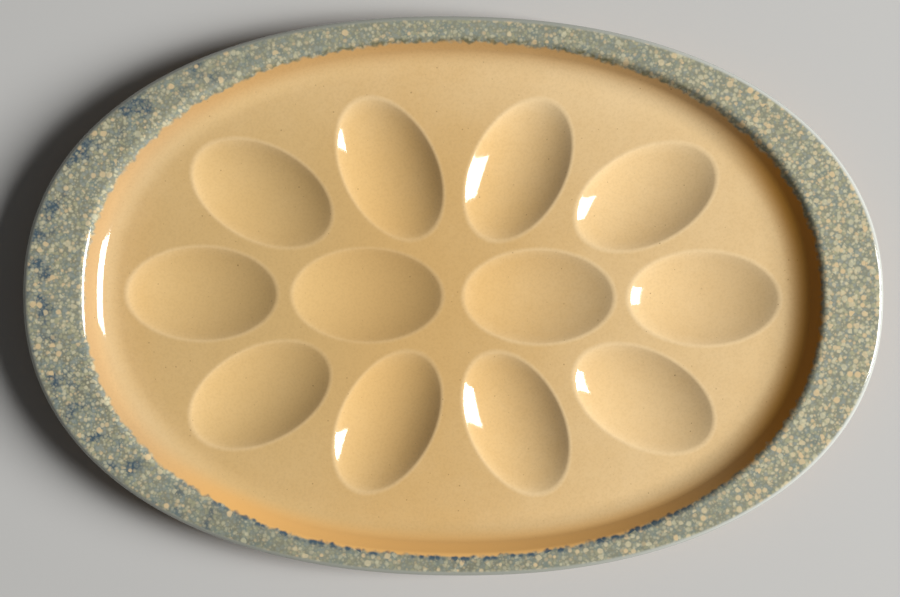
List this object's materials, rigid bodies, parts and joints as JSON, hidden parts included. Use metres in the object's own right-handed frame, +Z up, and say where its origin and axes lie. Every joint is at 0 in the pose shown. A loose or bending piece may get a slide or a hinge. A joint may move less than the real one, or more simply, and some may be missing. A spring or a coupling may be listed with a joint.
{
  "type": "deviled egg platter",
  "caption": "Oval stoneware serving platter with egg-shaped hollows in its well, a honey glaze inside and a spattered glaze on its flat rim.",
  "frame": {"origin": "on the table, under the middle of the platter", "axes": "+X along the platter's length, +Y across it, +Z up out of the well"},
  "size_m": [0.38, 0.247, 0.0233],
  "materials": {
    "clay": "bare buff stoneware, fine and matt",
    "honey_glaze": "glossy honey glaze with fine iron specks",
    "spatter_glaze": "glossy grey-green glaze spattered with cream, teal and navy",
    "underside_glaze": "glossy honey glaze"
  },
  "bodies": {
    "root": {"stoneware_body": "clay", "foot_ring": "clay", "well_glaze": "honey_glaze", "rim_glaze": "spatter_glaze", "underside_glaze": "underside_glaze"}
  },
  "joints": []
}
